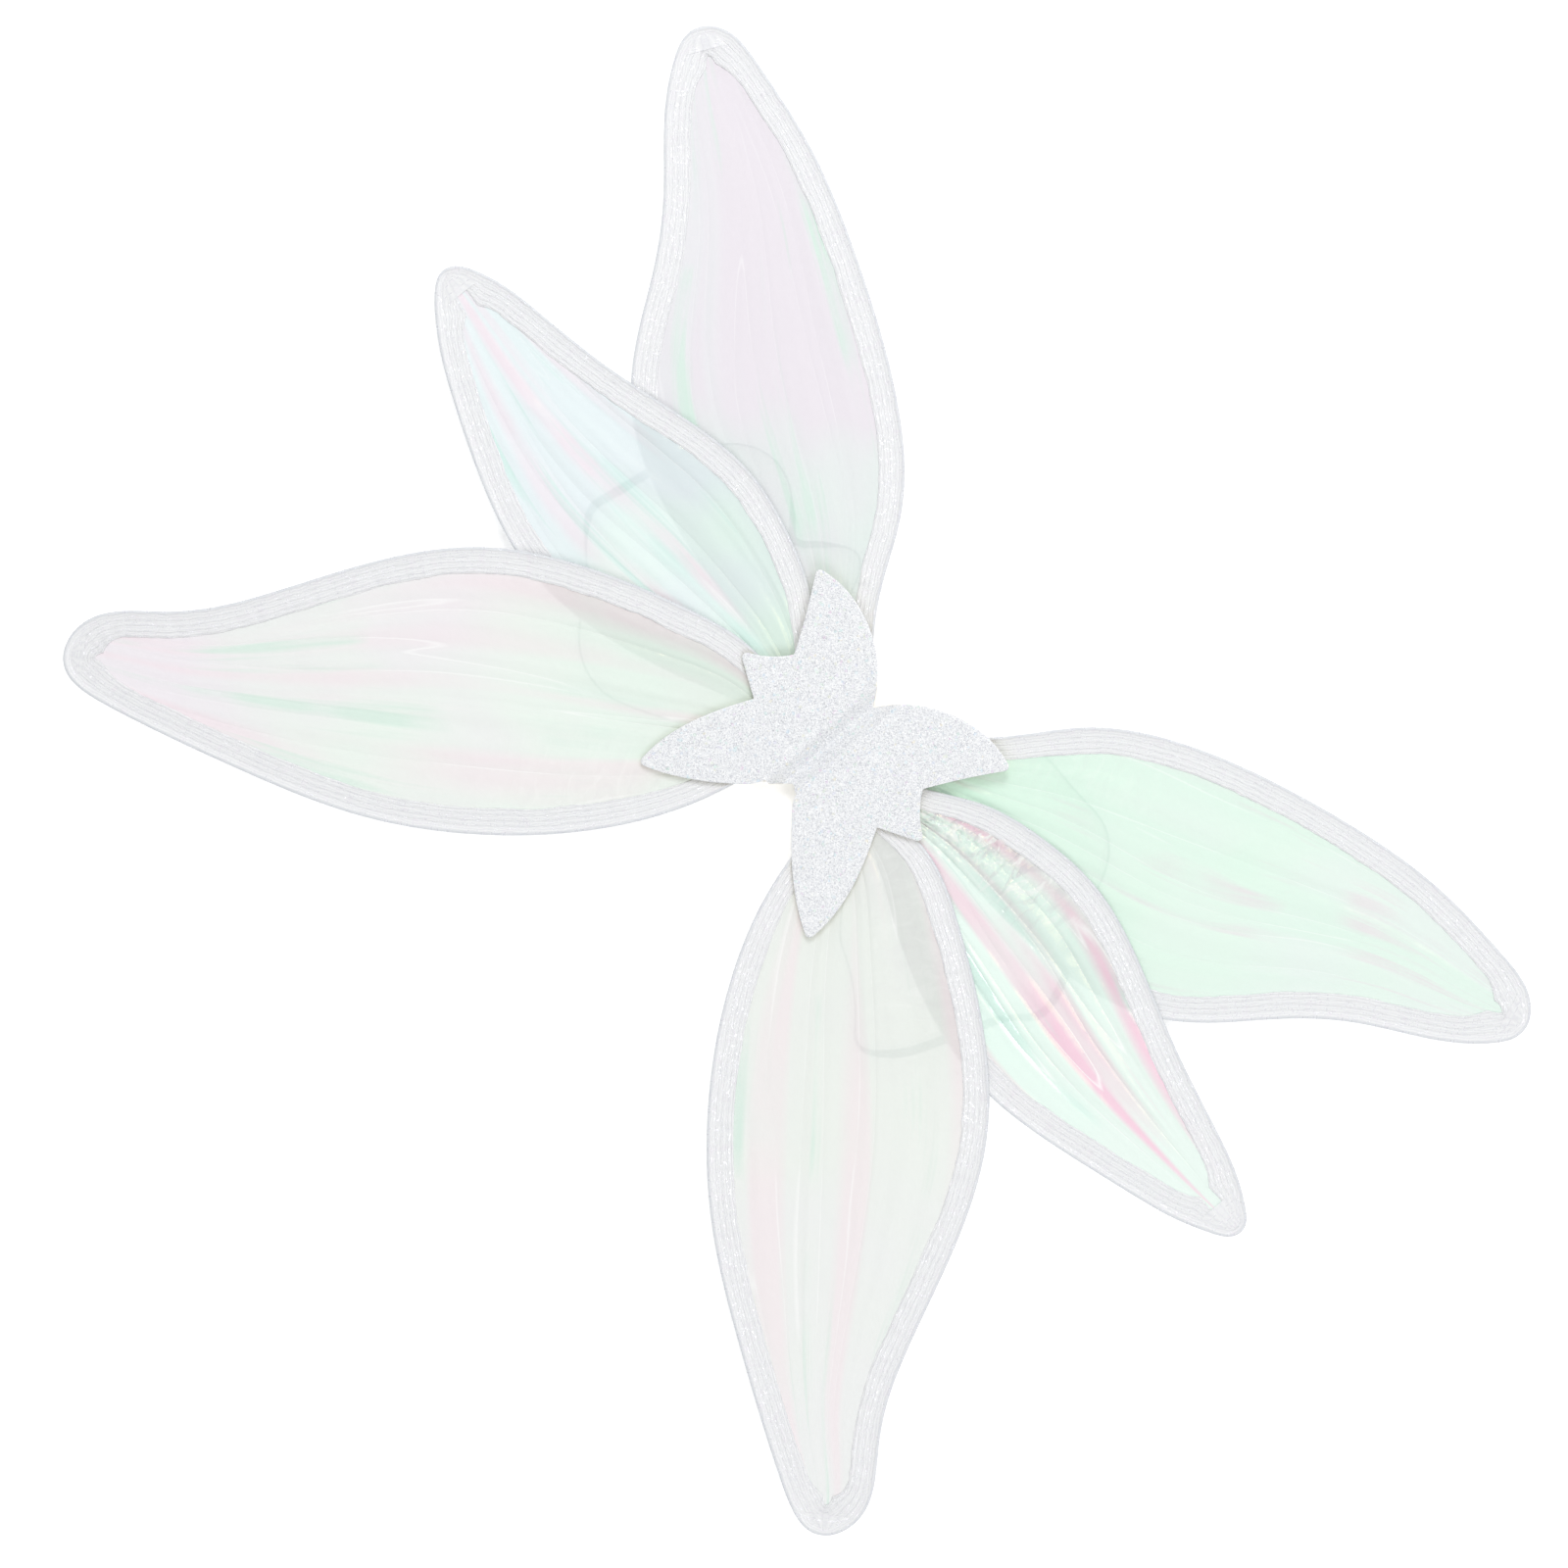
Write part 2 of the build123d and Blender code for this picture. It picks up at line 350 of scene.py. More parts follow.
def tube(path, radius, sides, closed):
    """A round tube along a path of (x, y, z) points that runs in the XY plane."""
    path = np.asarray(path)
    if closed:
        along = np.roll(path, -1, 0) - np.roll(path, 1, 0)
    else:
        along = np.gradient(path, axis=0)
    along /= np.maximum(np.linalg.norm(along, axis=1, keepdims=True), 1e-12)
    across = np.column_stack([along[:, 1], -along[:, 0], np.zeros(len(path))])
    across /= np.maximum(np.linalg.norm(across, axis=1, keepdims=True), 1e-12)
    up = np.cross(across, along)
    verts = []
    for p, a, u in zip(path, across, up):
        for k in range(sides):
            angle = 2 * pi * k / sides
            verts.append(tuple(p + radius * (cos(angle) * a + sin(angle) * u)))
    faces = grid_faces(len(path), sides, wrap_rows=closed, wrap_columns=True)
    if not closed:
        faces += end_caps(sides, len(verts))
    return verts, faces


# ---------------------------------------------------------------- materials


def linear(r, g, b):
    """A colour given as 0 to 255 on the screen, as scene-linear RGBA."""
    return tuple((c / 255) ** 2.2 for c in (r, g, b)) + (1.0,)


class Finish:
    """A procedural material and short ways to add nodes to it."""

    def __init__(self, name):
        self.material = bpy.data.materials.new(name)
        self.material.use_nodes = True
        self.tree = self.material.node_tree
        self.shader = self.tree.nodes["Principled BSDF"]

    def node(self, kind, **inputs):
        node = self.tree.nodes.new(kind)
        for key, value in inputs.items():
            self.feed(node, key, value)
        return node

    def feed(self, node, key, value):
        socket = node.inputs[key.replace("_", " ")] if isinstance(key, str) else node.inputs[key]
        if hasattr(value, "is_output"):
            self.tree.links.new(value, socket)
        else:
            socket.default_value = value

    def set(self, **inputs):
        for key, value in inputs.items():
            self.feed(self.shader, key, value)

    def place(self, kind="Object", scale=(1, 1, 1)):
        coordinate = self.node("ShaderNodeTexCoord")
        mapping = self.node("ShaderNodeMapping", Vector=coordinate.outputs[kind], Scale=scale)
        return mapping.outputs[0]

    def shifted(self, where, seed):
        """The same place in another part of the noise for each seed."""
        node = self.node("ShaderNodeVectorMath")
        node.operation = "ADD"
        self.feed(node, 0, where)
        node.inputs[1].default_value = (seed * 3.7, seed * 5.1, seed)
        return node.outputs[0]

    def noise(self, where, scale, detail=2.0, rough=0.5, distort=0.0):
        node = self.node("ShaderNodeTexNoise", Vector=where, Scale=scale, Detail=detail, Roughness=rough)
        node.inputs["Distortion"].default_value = distort
        return node.outputs["Fac"]

    def cells(self, where, scale, feature="F1", output="Distance"):
        node = self.node("ShaderNodeTexVoronoi")
        node.feature = feature
        self.feed(node, "Vector", where)
        self.feed(node, "Scale", scale)
        return node.outputs[output]

    def ramp(self, fac, stops):
        node = self.node("ShaderNodeValToRGB", Fac=fac)
        elements = node.color_ramp.elements
        while len(elements) < len(stops):
            elements.new(0.5)
        for element, (position, colour) in zip(elements, stops):
            element.position = position
            element.color = colour
        return node.outputs["Color"]

    def level(self, fac, low, high, at_low, at_high):
        node = self.node("ShaderNodeMapRange", Value=fac)
        node.inputs["From Min"].default_value = low
        node.inputs["From Max"].default_value = high
        node.inputs["To Min"].default_value = at_low
        node.inputs["To Max"].default_value = at_high
        return node.outputs["Result"]

    def mix(self, fac, a, b):
        node = self.tree.nodes.new("ShaderNodeMix")
        node.data_type = "RGBA"
        # Sockets 6 and 7 and output 2 are the node's colour ones.
        self.feed(node, 0, fac)
        self.feed(node, 6, a)
        self.feed(node, 7, b)
        return node.outputs[2]

    def math(self, kind, a, b=0.0):
        node = self.tree.nodes.new("ShaderNodeMath")
        node.operation = kind
        self.feed(node, 0, a)
        self.feed(node, 1, b)
        return node.outputs[0]

    def bump(self, height, strength, distance, normal=None):
        node = self.node("ShaderNodeBump", Height=height, Strength=strength, Distance=distance)
        if normal is not None:
            self.feed(node, "Normal", normal)
        return node.outputs["Normal"]


# How opaque the film and the ribbon are, and the film's coating: its thickness in nanometres and IOR.
FILM_ALPHA = 0.85
RIBBON_ALPHA = 0.88
THIN_FILM_NM = 430.0
THIN_FILM_IOR = 1.38


def film_finish(name, seed, ground, streak, glint, share, crinkled, gathered):
    """Thin iridescent film: a pale ground that changes from root to tip, broad soft streaks along the
    leaf in a second tint, glints in a third, and painted highlights: thin bright lines where folds would
    catch the light."""
    f = Finish(name)
    lay = f.shifted(f.place("UV", scale=(0.9, 5.0, 1)), seed)
    spread = f.shifted(f.place(), seed)
    patch = f.noise(spread, 9.0, 2.0, 0.5, 0.4)
    split = f.node("ShaderNodeSeparateXYZ", Vector=f.place("UV"))
    along, across = split.outputs["X"], split.outputs["Y"]
    drift = f.math("ADD", along, f.math("MULTIPLY", f.math("SUBTRACT", patch, 0.5), 1.1))
    colour = f.ramp(drift, [(0.12, ground[0]), (0.45, ground[1]), (0.85, ground[2])])
    bands = f.level(f.noise(lay, 1.0, 1.5, 0.5, 0.3), 0.5, 0.62, 0.0, share)
    bands = f.math("MULTIPLY", bands, f.level(patch, 0.3, 0.5, 0.35, 1.0))
    colour = f.mix(bands, colour, streak)
    tips = f.level(f.noise(lay, 1.7, 3.0, 0.6, 0.4), 0.55, 0.66, 0.0, 0.8)
    shown = f.math("MULTIPLY", tips, f.level(patch, 0.42, 0.58, 1.0, 0.0))
    colour = f.mix(shown, colour, glint)
    folds = f.math("ABSOLUTE", f.math("SUBTRACT", f.noise(lay, 1.3, 1.5, 0.5, 0.3), 0.5))
    # Painted highlights: thin near-white lines along the fold lines, in patches, where the folds would
    # catch the light.
    painted_highlight_patch = f.level(patch, 0.45, 0.55, 0.0, 1.0)
    painted_fold_highlight = f.math("MULTIPLY", f.level(folds, 0.0, 0.011, 0.75, 0.0), painted_highlight_patch)
    painted_fold_highlight = f.math("MULTIPLY", painted_fold_highlight, f.level(along, 0.7, 0.9, min(crinkled, 1.0), 0.0))
    colour = f.mix(painted_fold_highlight, colour, linear(253, 254, 254))
    # Ripples that run in from the hem beside the root, where the film is gathered. Their crests are
    # painted lighter as highlights, and their grooves darker as painted shade.
    ripple = f.noise(f.shifted(f.place("UV", scale=(58.0, 7.0, 1)), seed), 1.0, 2.0, 0.5, 0.8)
    where = f.math("MULTIPLY", f.level(along, 0.05, 0.12, 0.0, 1.0), f.level(along, 0.3, 0.46, 1.0, 0.0))
    where = f.math("MULTIPLY", where, f.level(across, 0.5, 0.78, 0.0, gathered))
    # Painted highlight on the ripples' crests.
    crests = f.math("MULTIPLY", where, f.level(ripple, 0.55, 0.63, 0.0, 0.9))
    colour = f.mix(crests, colour, linear(254, 255, 254))
    # Painted shade in the ripples' grooves.
    painted_groove_shade = f.math("MULTIPLY", where, f.level(ripple, 0.46, 0.36, 0.0, 0.6))
    colour = f.mix(painted_groove_shade, colour, linear(214, 208, 216))
    f.set(Base_Color=colour, Roughness=f.level(folds, 0.0, 0.1, 0.1, 0.24), Alpha=FILM_ALPHA)
    f.set(IOR=1.5, Coat_Weight=0.6, Coat_Roughness=0.08, Metallic=f.math("MULTIPLY", shown, 0.25))
    f.set(Thin_Film_Thickness=THIN_FILM_NM, Thin_Film_IOR=THIN_FILM_IOR)
    crinkle = f.cells(f.place(), 120.0, "DISTANCE_TO_EDGE")
    # The folds die out toward the tip.
    depth = f.level(along, 0.6, 0.95, 0.014 * crinkled, 0.0)
    normal = f.bump(folds, 0.55, depth, f.bump(crinkle, 0.15, 0.0009))
    f.set(Normal=f.bump(f.math("MULTIPLY", where, ripple), 0.6, 0.004, normal))
    return f.material


def ribbon_finish():
    """Glitter organza: silvery lavender, woven lines along it, darker over the wire, partly where the
    steel shows through and partly painted shade on the tunnel's rounded edge. Its UVs are in
    millimetres, along the wire and inward from it."""
    f = Finish("ribbon")
    lay = f.place("UV")
    split = f.node("ShaderNodeSeparateXYZ", Vector=lay)
    across = split.outputs["Y"]
    line_pitch, thread_pitch = 1.7, 0.6
    wander = f.math("MULTIPLY", f.noise(lay, 0.12, 2.0), 3.0)
    lines = f.math("SINE", f.math("MULTIPLY", f.math("ADD", across, wander), 2 * pi / line_pitch))
    threads = f.math("SINE", f.math("MULTIPLY", split.outputs["X"], 2 * pi / thread_pitch))
    speck = f.cells(lay, 1.1, output="Color")
    speck_level = f.node("ShaderNodeSeparateXYZ", Vector=speck).outputs["X"]
    cloud = f.noise(lay, 0.16, 3.0, 0.6)
    greys = [(0.3, linear(243, 243, 247)), (0.5, linear(248, 250, 250)), (0.7, linear(246, 243, 248))]
    ground = f.ramp(cloud, greys)
    woven = f.mix(f.level(lines, 0.2, 1.0, 0.0, 0.7), ground, linear(254, 254, 255))
    woven = f.mix(f.level(lines, -0.5, -1.0, 0.0, 0.4), woven, linear(228, 228, 236))
    woven = f.mix(f.level(threads, 0.2, 1.0, 0.0, 0.18), woven, linear(226, 227, 234))
    flakes = f.level(speck_level, 0.88, 0.97, 0.0, 0.9)
    colour = f.mix(flakes, woven, linear(250, 250, 255))
    # Darker over the wire: partly the steel showing through the sheer ribbon, partly painted shade on
    # the rounded tunnel's outer edge.
    wire = f.level(across, 0.9, 1.9, 0.35, 0.0)
    colour = f.mix(wire, colour, linear(200, 208, 218))
    f.set(Base_Color=colour, Roughness=f.level(speck_level, 0.8, 0.97, 0.5, 0.18), Alpha=RIBBON_ALPHA)
    f.set(Metallic=f.level(speck_level, 0.86, 0.97, 0.0, 0.2), Sheen_Weight=0.2)
    f.set(Normal=f.bump(f.math("ADD", lines, threads), 0.35, 0.0002))
    return f.material


def glitter_finish():
    """Glitter foam: fine white and silver glitter with a few pastel sparkles."""
    f = Finish("glitter_foam")
    where = f.place()
    split = f.node("ShaderNodeSeparateXYZ", Vector=f.cells(where, 2000.0, output="Color"))
    coarse = f.node("ShaderNodeSeparateXYZ", Vector=f.cells(where, 620.0, output="Color"))
    whites = [
        (0.0, linear(200, 202, 208)), (0.25, linear(228, 230, 234)), (0.6, linear(240, 242, 244)),
        (0.85, linear(250, 251, 252)), (1.0, linear(255, 255, 255)),
    ]
    pastels = [
        (0.0, linear(235, 190, 225)), (0.35, linear(190, 222, 245)), (0.7, linear(200, 240, 222)),
        (1.0, linear(245, 230, 190)),
    ]
    ground = f.ramp(split.outputs["X"], whites)
    pastel = f.ramp(coarse.outputs["Y"], pastels)
    colour = f.mix(f.level(coarse.outputs["X"], 0.9, 0.96, 0.0, 0.35), ground, pastel)
    f.set(Base_Color=colour, Roughness=f.level(split.outputs["Y"], 0.0, 1.0, 0.22, 0.6))
    f.set(Metallic=f.level(split.outputs["Z"], 0.6, 0.95, 0.0, 0.4))
    f.set(Normal=f.bump(split.outputs["Y"], 0.55, 0.0003))
    return f.material


def cream_foam_finish(name, tint):
    """Plain closed-cell foam."""
    f = Finish(name)
    where = f.place()
    cell = f.cells(where, 900.0)
    cloud = f.noise(where, 45.0, 3.0)
    colour = f.mix(f.level(cloud, 0.3, 0.7, 0.0, 1.0), linear(*tint), linear(*[c - 10 for c in tint]))
    # Painted shade: the cells' hollows, which the bump sinks, are coloured darker.
    colour = f.mix(f.level(cell, 0.0, 0.35, 0.3, 0.0), colour, linear(*[c - 34 for c in tint]))
    f.set(Base_Color=colour, Roughness=f.level(cloud, 0.3, 0.7, 0.75, 0.9))
    f.set(Normal=f.bump(cell, 0.4, 0.0004))
    return f.material


def elastic_finish():
    """Flat woven elastic: fine ribs along it and picks across. Its UVs are in millimetres."""
    f = Finish("elastic")
    lay = f.place("UV")
    split = f.node("ShaderNodeSeparateXYZ", Vector=lay)
    rib_pitch, pick_pitch = 0.75, 0.7
    ribs = f.math("SINE", f.math("MULTIPLY", split.outputs["Y"], 2 * pi / rib_pitch))
    picks = f.math("SINE", f.math("MULTIPLY", split.outputs["X"], 2 * pi / pick_pitch))
    woven = f.math("MULTIPLY", ribs, picks)
    fuzz = f.noise(lay, 2.0, 4.0)
    blues = [(0.0, linear(190, 212, 220)), (0.4, linear(214, 232, 236)), (1.0, linear(232, 242, 244))]
    colour = f.ramp(f.level(ribs, -1.0, 1.0, 0.0, 1.0), blues)
    colour = f.mix(f.level(fuzz, 0.35, 0.75, 0.0, 0.3), colour, linear(196, 214, 222))
    f.set(Base_Color=colour, Roughness=f.level(fuzz, 0.3, 0.7, 0.7, 0.85), Sheen_Weight=0.15)
    f.set(Normal=f.bump(woven, 0.5, 0.0003))
    return f.material


def metal_finish(name, tint, rough):
    """Drawn metal with fine scratches."""
    f = Finish(name)
    scratch = f.noise(f.place(scale=(400, 2600, 400)), 1.0, 3.0)
    cloud = f.noise(f.place(), 120.0, 3.0)
    colour = f.mix(f.level(cloud, 0.3, 0.7, 0.0, 1.0), linear(*tint), linear(*[c - 30 for c in tint]))
    f.set(Base_Color=colour, Roughness=f.level(scratch, 0.3, 0.7, rough - 0.08, rough + 0.12))
    f.set(Metallic=1.0, Normal=f.bump(scratch, 0.2, 0.0001))
    return f.material


def glue_finish():
    """Hot-melt glue, cloudy and slightly yellow."""
    f = Finish("glue")
    cloud = f.noise(f.place(), 160.0, 3.0)
    colour = f.mix(f.level(cloud, 0.3, 0.7, 0.0, 1.0), linear(236, 230, 208), linear(248, 246, 236))
    f.set(Base_Color=colour, Roughness=f.level(cloud, 0.3, 0.7, 0.25, 0.45))
    f.set(Normal=f.bump(cloud, 0.3, 0.0006))
    return f.material


def floor_finish():
    """The studio's pale floor."""
    f = Finish("floor")
    grain = f.noise(f.place(), 14.0, 3.0)
    f.set(Base_Color=f.mix(grain, linear(250, 250, 250), linear(254, 254, 254)), Roughness=0.9)
    f.set(Emission_Color=(1.0, 1.0, 1.0, 1.0), Emission_Strength=0.3)
    return f.material


# Each film: the ground's tint at the root, halfway and at the tip, the streaks' tint, the glints' tint
# and how strong the streaks are.
FILM_TINTS = {
    ("left", "upper"): (
        [(222, 236, 231), (229, 224, 232), (229, 224, 232)], (226, 232, 234), (212, 244, 228), 0.5),
    ("left", "middle"): (
        [(228, 249, 239), (228, 239, 243), (226, 240, 242)], (246, 214, 228), (212, 248, 240), 0.55),
    ("left", "lower"): (
        [(226, 244, 233), (231, 240, 234), (235, 231, 237)], (240, 222, 230), (218, 244, 231), 0.6),
    ("right", "upper"): (
        [(210, 246, 225), (222, 243, 231), (226, 239, 234)], (216, 244, 228), (242, 228, 237), 0.5),
    ("right", "middle"): (
        [(234, 252, 244), (228, 249, 240), (229, 245, 238)], (244, 196, 218), (216, 249, 238), 0.9),
    ("right", "lower"): (
        [(230, 234, 232), (231, 237, 232), (232, 235, 235)], (240, 225, 231), (216, 243, 230), 0.6),
}

# How deep each film's folds are, and how strongly it is gathered beside its root. The first also sets
# the painted fold highlights, and the second the painted highlights and shade on the gathers.
CRINKLE = {
    ("left", "upper"): (0.45, 0.1),
    ("left", "middle"): (0.7, 0.15),
    ("left", "lower"): (0.65, 0.15),
    ("right", "upper"): (0.5, 0.1),
    ("right", "middle"): (1.2, 1.0),
    ("right", "lower"): (0.6, 0.15),
}

FINISHES = {
    "ribbon": ribbon_finish(),
    "foam": glitter_finish(),
    "cut": cream_foam_finish("foam_edge", (244, 236, 208)),
    "pad": cream_foam_finish("pad_foam", (240, 238, 232)),
    "elastic": elastic_finish(),
    "wire": metal_finish("wire", (206, 208, 212), 0.35),
    "ferrule": metal_finish("ferrule", (188, 188, 190), 0.3),
    "glue": glue_finish(),
    "floor": floor_finish(),
}
for number, (key, tints) in enumerate(FILM_TINTS.items()):
    grounds, streak, glint, share = tints
    FINISHES[key] = film_finish(
        "film_" + "_".join(key), number + 1, [linear(*t) for t in grounds], linear(*streak),
        linear(*glint), share, *CRINKLE[key],
    )


# ---------------------------------------------------------------- leaves


class Leaf:
    """One leaf's wire line and the lines and heights worked out from it."""

    def __init__(self, side, tier, seed):
        self.side, self.tier, self.seed = side, tier, seed
        self.name = side + "_" + tier
        self.body = side + "_wing"
        low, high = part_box(self.name + "_film")
        self.z = (low[2] + high[2]) / 2
        film = node_outline(self.name + "_film")
        film = resampled(film, int(loop_length(film) / LOOP_STEP))
        film = smoothed(film, LOOP_SMOOTH)
        wire = smoothed(film + outward(film) * FILM_TUCK, LOOP_SMOOTH)
        # The loop starts at the root, the middle of the points nearest the spine.
        off_spine = np.abs(wire[:, 0])
        middle = wire[off_spine < off_spine.min() + ROOT_BAND].mean(0)
        start = int(np.linalg.norm(wire - middle, axis=1).argmin())
        self.wire = np.roll(wire, -start, 0)
        self.count = len(self.wire)
        self.step = loop_length(self.wire) / self.count
        self.out = outward(self.wire)
        self.tip = int(np.linalg.norm(self.wire - self.wire[0], axis=1).argmax())
        self.room = self.inward_room()

    def inward_room(self):
        """How far inward a rib from each point of the wire may reach before it meets another rib."""
        widths = np.arange(4, 26, 1.0) * MM
        room = np.full(self.count, widths[0])
        for width in widths:
            ends = self.wire - self.out * width
            gap, _ = distance_to(ends, self.wire)
            fits = (gap > width - 0.25 * MM) & (room >= width - 1.5 * MM)
            room[fits] = width
        shifts = range(-5, 6)
        lowest = np.min([np.roll(room, k) for k in shifts], axis=0)
        return np.mean([np.roll(lowest, k) for k in shifts], axis=0)

    def pucker(self, index, inward):
        """The gathered ribbon's and the film's height, index along the wire and inward from it."""
        s = index * self.step
        wave = np.array(
            [
                noise.noise((v / (7 * MM), self.seed * 9.1, 0))
                + 0.6 * noise.noise((v / (3.2 * MM), self.seed * 5.3, 4))
                for v in np.atleast_1d(s)
            ]
        )
        return PUCKER_HEIGHT * wave * ease(inward, 2.0 * MM, 11.0 * MM)


def hem_width(leaf):
    """The ribbon's cut width at each point of the wire, narrower at the root and wider round the tip,
    and the part of it that the leaf has room for, a little uneven."""
    index = np.arange(leaf.count)
    to_tip = np.abs(index - leaf.tip) * leaf.step
    to_root = np.minimum(index, leaf.count - index) * leaf.step
    width = HEM_WIDTH * (0.78 + 0.22 * ease(to_root, 20 * MM, 120 * MM))
    width = width + TIP_EXTRA * (1 - ease(to_tip, 8 * MM, 45 * MM))
    ripple = np.array([noise.noise((i * leaf.step / (22 * MM), leaf.seed * 2.3, 1)) for i in index])
    small = np.array([noise.noise((i * leaf.step / (5 * MM), leaf.seed * 2.3, 7)) for i in index])
    return width, np.minimum(width + 0.9 * MM * ripple + 0.4 * MM * small, 0.97 * leaf.room)


def make_ribbon(leaf):
    """The hem: a sleeve over the wire and two flaps, with stitched threads and loose glitter."""
    cut_width, width = hem_width(leaf)
    gap = int(ROOT_GAP / leaf.step)
    index = np.arange(gap, leaf.count - gap)
    columns = [(-share, -1) for share in reversed(FLAP_SHARES)]
    columns += SLEEVE_SECTION
    columns += [(-share, 1) for share in FLAP_SHARES]
    flap, total = len(FLAP_SHARES), len(columns)
    verts, lays, inward = [], [], []
    for i in index:
        for c, (o, z) in enumerate(columns):
            if flap <= c < total - flap:
                offset, height = o * SLEEVE_RADIUS, z * SLEEVE_RADIUS
            else:
                offset, height = o * width[i], z * (HEM_LIP if c in (0, total - 1) else HEM_SKIN)
            verts.append((*(leaf.wire[i] + leaf.out[i] * offset), leaf.z + height))
            inward.append(max(-offset, 0))
            lays.append((i * leaf.step / MM, inward[-1] / MM + 1.0))
    lift = leaf.pucker(np.repeat(index, total), np.array(inward))
    verts = [(x, y, z + float(h)) for (x, y, z), h in zip(verts, lift)]
    faces = [tuple(reversed(f)) for f in grid_faces(len(index), total, wrap_columns=True)]
    faces += end_caps(total, len(verts))
    blocks = [(verts, faces, lays)]
    blocks += [thread(leaf, index, width, share) for share in THREAD_SHARES]
    blocks.append(loose_glitter(leaf, index, width))
    blocks.append(tip_patch(leaf, cut_width))
    ribbon = joined(leaf.name + "_ribbon", blocks, FINISHES["ribbon"], uv=True)
    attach(ribbon, leaf.body)
    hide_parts(leaf.name + "_binding")


def tip_patch(leaf, width):
    """The ribbon's folded corner at the tip, which closes the gap between the flaps of its two sides."""
    verts, lays = [], []
    row = 2
    while True:
        first, second = leaf.tip - row, (leaf.tip + row) % leaf.count
        span = np.linalg.norm(leaf.wire[first] - leaf.wire[second])
        if span > width[first] + width[second] - PATCH_OVERLAP:
            break
        start = leaf.wire[first] - leaf.out[first] * PATCH_INSET
        end = leaf.wire[second] - leaf.out[second] * PATCH_INSET
        for share in np.linspace(0, 1, PATCH_COLUMNS):
            flat = start + (end - start) * share
            verts.append((*flat, leaf.z + HEM_SKIN + PATCH_RISE * sin(pi * share)))
            lays.append(((leaf.tip + row) * leaf.step / MM, 4 + 10 * min(share, 1 - share)))
        row += 1
    return verts, grid_faces(len(verts) // PATCH_COLUMNS, PATCH_COLUMNS), lays


def thread(leaf, index, width, share):
    """A yarn couched along the ribbon, wandering a little."""
    inward = width[index] * share
    wander = np.array([noise.noise((i * leaf.step / (9 * MM), share * 17, leaf.seed)) for i in index])
    inward = inward + THREAD_WANDER * wander
    flat = leaf.wire[index] - leaf.out[index] * inward[:, None]
    lift = leaf.pucker(index, inward)
    beads = THREAD_BEAD * np.sin(index * leaf.step / (1.1 * MM))
    path = np.column_stack([flat, leaf.z + HEM_SKIN + lift + beads])
    verts, faces = tube(path, THREAD_RADIUS, THREAD_SIDES, False)
    lays = [(i * leaf.step / MM, 6.0 + 0.11 * k) for i in index for k in range(THREAD_SIDES)]
    return verts, faces, lays


def loose_glitter(leaf, index, width):
    """Small six-sided flakes stuck on the ribbon's upper side."""
    random = np.random.default_rng(100 + leaf.seed)
    verts, faces, lays = [], [], []
    for _ in range(len(index)):
        i = int(random.integers(index[0], index[-1]))
        inward = random.uniform(0.2, 0.95) * width[i]
        flat = leaf.wire[i] - leaf.out[i] * inward
        lift = float(leaf.pucker(np.array([i]), np.array([inward]))[0])
        centre = Vector((*flat, leaf.z + HEM_SKIN + 0.08 * MM + lift))
        size = random.uniform(0.22, 0.42) * MM
        tilt = Vector((random.normal(0, 0.3), random.normal(0, 0.3), 1)).normalized()
        faces.append(tuple(range(len(verts), len(verts) + 6)))
        verts += flake(centre, size, tilt)
        lays += [(random.uniform(0, 60), 6 + random.uniform(0, 8))] * 6
    return verts, faces, lays


def make_wire(leaf):
    """The steel loop inside the ribbon's tunnel."""
    path = np.column_stack([leaf.wire, np.full(leaf.count, leaf.z)])
    verts, faces = tube(path, WIRE_RADIUS, WIRE_SIDES, True)
    wire = new_object(leaf.name + "_wire", verts, faces, FINISHES["wire"])
    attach(wire, leaf.body)
    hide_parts(leaf.name + "_frame")


def ridge(value):
    """Noise turned into sharp crests with round troughs."""
    return 1 - 2.4 * abs(value)


def hem_gathers(leaf, gap, index):
    """Short puckers that run inward from the hem along the first part of the upper edge."""
    to_root = (leaf.count - index) * leaf.step
    reach = ease(to_root, 16 * MM, 34 * MM) * (1 - ease(to_root, 95 * MM, 150 * MM)) * (index > leaf.tip)
    reach = reach * (1 - ease(gap, 16 * MM, 46 * MM))
    waves = [
        noise.noise((s / (4.6 * MM), g / (30 * MM), leaf.seed * 3.3)) if r > 0 else 0.0
        for s, g, r in zip(to_root, gap, reach)
    ]
    return GATHER_WAVE * np.array(waves) * reach


